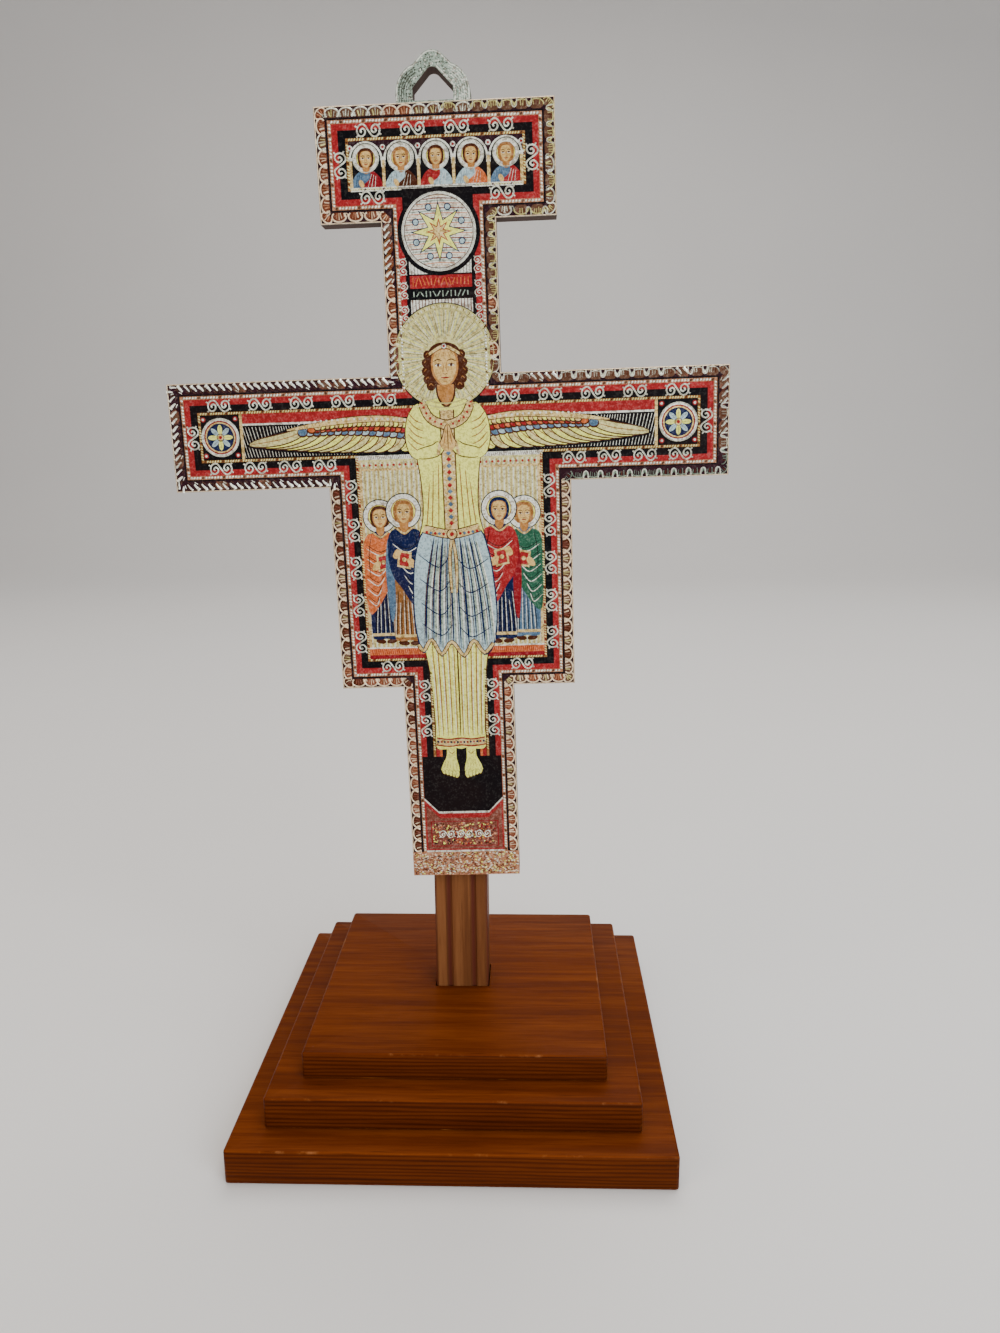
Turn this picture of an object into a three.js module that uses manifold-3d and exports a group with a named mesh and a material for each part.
// Standing icon cross: a stepped, foil-faced board with a hanging loop, glued to a
// moulded wooden post that is set in a three-step wooden base.
//
// Sizes are in millimetres. X runs to the viewer's right, Y away from the viewer and
// Z up. The origin is the centre of the base's underside.

import * as THREE from "three";
import { mergeVertices } from "three/addons/utils/BufferGeometryUtils.js";
import Module from "manifold-3d";

const wasm = await Module();
wasm.setup();

// Base: three square plates with eased edges
const baseSide = 144;
const ledgeWidth = 10.65;
const bottomTierThickness = 12;
const middleTierThickness = 11;
const topTierThickness = 9.5;
const easedEdge = 0.8;

// Post: a lath with two grooves down its front, set in a mortise through the top tier
const postWidth = 19.2;
const postDepth = 15.4;
const postReveal = 47.4;
const postBehindBoard = 120;
const postChamfer = 0.9;
const grooveSpacing = 8.8;
const grooveRadius = 1.3;
const grooveDepth = 0.9;
const mortiseClearance = 0.4;

// Board: the stepped cross, from the tablet at the top to the foot
const boardHeight = 250;
const boardWidth = 180;
const boardThickness = 6;
const tabletWidth = 73;
const tabletHeight = 33.3;
const neckWidth = 35.6;
const neckHeight = 45.7;
const armHeight = 34.3;
const apronWidth = 79;
const apronHeight = 67.6;
const footWidth = 37.6;

// The board is glued on slightly out of true, leaning to the viewer's left
const boardLean = 1.4;
const leanPivotHeight = 115;

// Hanging loop, cut in one with the board
const loopWidth = 22.5;
const loopHeight = 14.05;
const loopSideHeight = 2.4;
const loopSideRadius = 8.4;
const loopSideSweep = 70;
const loopCrownRadius = 4.6;
const loopSideWall = 5.1;
const loopCrownWall = 4.5;
const loopOpeningSide = 4;
const loopSillHeight = 0.3;
const loopApexRound = 2.2;

// Embossed foil facing: rim of shells whose crowns face the edge, beaded line inside it,
// plain strip at the foot
const foilThickness = 0.4;
const rimMargin = 0.4;
const rimWidth = 3.4;
const rimRelief = 0.35;
const scallopPitch = 4.7;
const scallopDepth = 1.4;
const scallopCorner = 0.7;
const beadLineGap = 0.5;
const beadLineWidth = 1.2;
const beadLineRelief = 0.25;
const plainStripHeight = 8.8;

// Film of glue between pieces that lie on each other
const glueLine = 0.1;

// How finely round stretches are faceted
const scallopFacets = 5;
const grooveFacets = 6;
const loopFacets = 10;
const edgeFacets = 2;

// Heights of the board's steps above its lower edge, which is the foot's
const boardTop = boardHeight;
const tabletBottom = boardTop - tabletHeight;
const armTop = tabletBottom - neckHeight;
const armBottom = armTop - armHeight;
const apronBottom = armBottom - apronHeight;

// Places of the pieces above the table and around the post
const middleTierSide = baseSide - 2 * ledgeWidth;
const topTierSide = middleTierSide - 2 * ledgeWidth;
const middleTierBottom = bottomTierThickness + glueLine;
const topTierBottom = middleTierBottom + middleTierThickness + glueLine;
const baseTop = topTierBottom + topTierThickness;
const boardBottom = baseTop + postReveal;
const postBottom = topTierBottom;
const postTop = boardBottom + postBehindBoard;
const postFront = -postDepth / 2;

const foilBack = boardThickness + glueLine;
const foilFront = foilBack + foilThickness;

const stainedWood = { color: 0x6b3014, roughness: 0.45, metalness: 0 };
const paleWood = { color: 0x8a5a34, roughness: 0.55, metalness: 0 };
const fibreboard = { color: 0x3d2418, roughness: 0.9, metalness: 0 };
const goldFoil = { color: 0xc9b27a, roughness: 0.3, metalness: 0.9 };

// A drawing's (x, y) becomes (x, z) on the board, and its height comes towards the viewer.
const drawingToFront = new THREE.Matrix4().set(1, 0, 0, 0, 0, 0, -1, 0, 0, 1, 0, 0, 0, 0, 0, 1);

function toSolid(geometry) {
  const bare = geometry.index ? geometry.toNonIndexed() : geometry.clone();
  bare.deleteAttribute("normal");
  bare.deleteAttribute("uv");
  const merged = mergeVertices(bare, 1e-4);
  return new wasm.Manifold(
    new wasm.Mesh({
      numProp: 3,
      vertProperties: merged.attributes.position.array,
      triVerts: new Uint32Array(merged.index.array),
    }),
  );
}

function toGeometry(solid) {
  const mesh = solid.getMesh();
  const geometry = new THREE.BufferGeometry();
  geometry.setAttribute("position", new THREE.BufferAttribute(mesh.vertProperties, 3));
  geometry.setIndex(new THREE.BufferAttribute(mesh.triVerts, 1));
  geometry.computeVertexNormals();
  return geometry;
}

function namedMesh(name, geometry, finish) {
  const mesh = new THREE.Mesh(geometry, new THREE.MeshStandardMaterial(finish));
  mesh.name = name;
  return mesh;
}

// A plate of the drawn shape, between two distances in front of the board's back face.
function frontPlate(shape, back, front) {
  const geometry = new THREE.ExtrudeGeometry(shape, {
    depth: front - back,
    bevelEnabled: false,
    curveSegments: loopFacets,
  });
  return geometry.translate(0, 0, back).applyMatrix4(drawingToFront);
}

// The stepped outline, drawn inwards by inset and cut level at lowerEdge: up the right
// side, then down the left.
function crossOutline(inset, lowerEdge) {
  const right = [
    [footWidth / 2 - inset, lowerEdge],
    [footWidth / 2 - inset, apronBottom + inset],
    [apronWidth / 2 - inset, apronBottom + inset],
    [apronWidth / 2 - inset, armBottom + inset],
    [boardWidth / 2 - inset, armBottom + inset],
    [boardWidth / 2 - inset, armTop - inset],
    [neckWidth / 2 - inset, armTop - inset],
    [neckWidth / 2 - inset, tabletBottom + inset],
    [tabletWidth / 2 - inset, tabletBottom + inset],
    [tabletWidth / 2 - inset, boardTop - inset],
  ].map(([x, y]) => new THREE.Vector2(x, y));
  const left = right.map((p) => new THREE.Vector2(-p.x, p.y)).reverse();
  return [...right, ...left];
}

// The loop's outside: straight sides, a round shoulder on each side that ends in a small
// cusp, and straight flanks that run from the cusps into a round crown.
function drawLoopOutside(path) {
  const shoulder = new THREE.Vector2(loopWidth / 2 - loopSideRadius, boardTop + loopSideHeight);
  const crown = new THREE.Vector2(0, boardTop + loopHeight - loopCrownRadius);
  const shoulderEnd = THREE.MathUtils.degToRad(loopSideSweep);
  const sweep = new THREE.Vector2(Math.cos(shoulderEnd), Math.sin(shoulderEnd));
  const cusp = shoulder.clone().addScaledVector(sweep, loopSideRadius);
  const toCusp = cusp.clone().sub(crown);
  const flankTurn = Math.acos(Math.min(1, loopCrownRadius / toCusp.length()));
  const crownStart = Math.atan2(toCusp.y, toCusp.x) + flankTurn;
  const half = Math.PI;
  path.lineTo(loopWidth / 2, boardTop);
  path.absarc(shoulder.x, shoulder.y, loopSideRadius, 0, shoulderEnd, false);
  path.absarc(crown.x, crown.y, loopCrownRadius, crownStart, half - crownStart, false);
  path.absarc(-shoulder.x, shoulder.y, loopSideRadius, half - shoulderEnd, half, false);
  path.lineTo(-loopWidth / 2, boardTop);
}

// The loop's opening: upright sides and a pointed head with a rounded apex.
function loopOpening() {
  const halfWidth = loopWidth / 2 - loopSideWall;
  const apexHeight = loopHeight - loopCrownWall;
  const slope = Math.atan2(apexHeight - loopOpeningSide, halfWidth);
  const apexCentre = boardTop + apexHeight - loopApexRound;
  const path = new THREE.Path();
  path.moveTo(-halfWidth, boardTop + loopSillHeight);
  path.lineTo(halfWidth, boardTop + loopSillHeight);
  path.lineTo(halfWidth, boardTop + loopOpeningSide);
  path.absarc(0, apexCentre, loopApexRound, Math.PI / 2 - slope, Math.PI / 2 + slope, false);
  path.lineTo(-halfWidth, boardTop + loopOpeningSide);
  path.closePath();
  return path;
}

function boardShape() {
  const outline = crossOutline(0, 0);
  const half = outline.length / 2;
  const shape = new THREE.Shape();
  shape.moveTo(outline[0].x, outline[0].y);
  outline.slice(1, half).forEach((p) => shape.lineTo(p.x, p.y));
  drawLoopOutside(shape);
  outline.slice(half).forEach((p) => shape.lineTo(p.x, p.y));
  shape.closePath();
  shape.holes.push(loopOpening());
  return shape;
}

// Points of one lobe that starts at from, runs in direction along and swells to its right.
function lobe(from, along, length) {
  const radius = (length ** 2 / 4 + scallopDepth ** 2) / (2 * scallopDepth);
  const reach = Math.asin(length / 2 / radius);
  const right = new THREE.Vector2(along.y, -along.x);
  return Array.from({ length: scallopFacets }, (_, i) => {
    const angle = reach * ((2 * (i + 1)) / scallopFacets - 1);
    return from
      .clone()
      .addScaledVector(along, length / 2 + radius * Math.sin(angle))
      .addScaledVector(right, radius * Math.cos(angle) - (radius - scallopDepth));
  });
}

// One side of the rim's outer edge: a plain stretch at each corner and lobes between.
function scallopedSide(from, to) {
  const side = to.clone().sub(from);
  const along = side.clone().normalize();
  const scalloped = side.length() - 2 * scallopCorner;
  const count = Math.max(1, Math.round(scalloped / scallopPitch));
  const points = [from.clone().addScaledVector(along, scallopCorner)];
  for (let i = 0; i < count; i++)
    points.push(...lobe(points[points.length - 1], along, scalloped / count));
  return [from, ...points];
}

// The rim follows the board's edge from one side of the plain strip round to the other.
function rimShape() {
  const outer = crossOutline(rimMargin + scallopDepth, plainStripHeight);
  const inner = crossOutline(rimWidth, plainStripHeight);
  const scallops = outer.slice(0, -1).flatMap((p, i) => scallopedSide(p, outer[i + 1]));
  return new THREE.Shape([...scallops, outer[outer.length - 1], ...inner.reverse()]);
}

function beadLineShape() {
  const inset = rimWidth + beadLineGap;
  const shape = new THREE.Shape(crossOutline(inset, plainStripHeight));
  const inside = crossOutline(inset + beadLineWidth, plainStripHeight + beadLineWidth);
  shape.holes.push(new THREE.Path(inside));
  return shape;
}

function makeBoard() {
  return namedMesh("icon_board", frontPlate(boardShape(), 0, boardThickness), fibreboard);
}

function makeFoil() {
  const sheet = toSolid(frontPlate(boardShape(), foilBack, foilFront));
  const rim = toSolid(frontPlate(rimShape(), foilBack, foilFront + rimRelief));
  const beadLine = toSolid(frontPlate(beadLineShape(), foilBack, foilFront + beadLineRelief));
  return namedMesh("foil_facing", toGeometry(sheet.add(rim).add(beadLine)), goldFoil);
}

// The post's section: a rectangle with its front corners taken off and two hollow grooves.
function postSection() {
  const halfWidth = postWidth / 2;
  const grooveCentre = postFront - (grooveRadius - grooveDepth);
  const grooveReach = Math.asin((grooveRadius - grooveDepth) / grooveRadius);
  const section = new THREE.Shape();
  section.moveTo(-halfWidth + postChamfer, postFront);
  for (const x of [-grooveSpacing / 2, grooveSpacing / 2])
    section.absarc(x, grooveCentre, grooveRadius, Math.PI - grooveReach, grooveReach, true);
  section.lineTo(halfWidth - postChamfer, postFront);
  section.lineTo(halfWidth, postFront + postChamfer);
  section.lineTo(halfWidth, -postFront);
  section.lineTo(-halfWidth, -postFront);
  section.lineTo(-halfWidth, postFront + postChamfer);
  section.closePath();
  return section;
}

function makePost() {
  const geometry = new THREE.ExtrudeGeometry(postSection(), {
    depth: postTop - postBottom,
    bevelEnabled: false,
    curveSegments: grooveFacets,
  });
  const post = namedMesh("post", geometry, paleWood);
  post.position.z = postBottom;
  return post;
}

// A square plate with all its edges eased, standing on z = 0.
function tierGeometry(side, thickness) {
  const flat = side / 2 - easedEdge;
  const square = [
    [-flat, -flat],
    [flat, -flat],
    [flat, flat],
    [-flat, flat],
  ].map(([x, y]) => new THREE.Vector2(x, y));
  const geometry = new THREE.ExtrudeGeometry(new THREE.Shape(square), {
    depth: thickness - 2 * easedEdge,
    bevelThickness: easedEdge,
    bevelSize: easedEdge,
    bevelSegments: edgeFacets,
  });
  return geometry.translate(0, 0, easedEdge);
}

// The top tier, with the post's mortise cut right through it.
function mortisedTier() {
  const hole = new THREE.BoxGeometry(
    postWidth + 2 * mortiseClearance,
    postDepth + 2 * mortiseClearance,
    3 * topTierThickness,
  );
  const tier = tierGeometry(topTierSide, topTierThickness);
  return toGeometry(toSolid(tier).subtract(toSolid(hole)));
}

function makeBase() {
  const bottom = tierGeometry(baseSide, bottomTierThickness);
  const middle = tierGeometry(middleTierSide, middleTierThickness);
  const tiers = [
    namedMesh("base_tier_bottom", bottom, stainedWood),
    namedMesh("base_tier_middle", middle, stainedWood),
    namedMesh("base_tier_top", mortisedTier(), stainedWood),
  ];
  tiers[1].position.z = middleTierBottom;
  tiers[2].position.z = topTierBottom;
  return tiers;
}

// The board and its foil, turned a little about a point on the post's front.
function makeCross() {
  const cross = new THREE.Group();
  cross.add(makeBoard(), makeFoil());
  cross.children.forEach((piece) => (piece.position.z = -leanPivotHeight));
  cross.position.set(0, postFront - glueLine, boardBottom + leanPivotHeight);
  cross.rotation.y = -THREE.MathUtils.degToRad(boardLean);
  return cross;
}

const standingCross = new THREE.Group();
standingCross.add(...makeBase(), makePost(), makeCross());

export default standingCross;
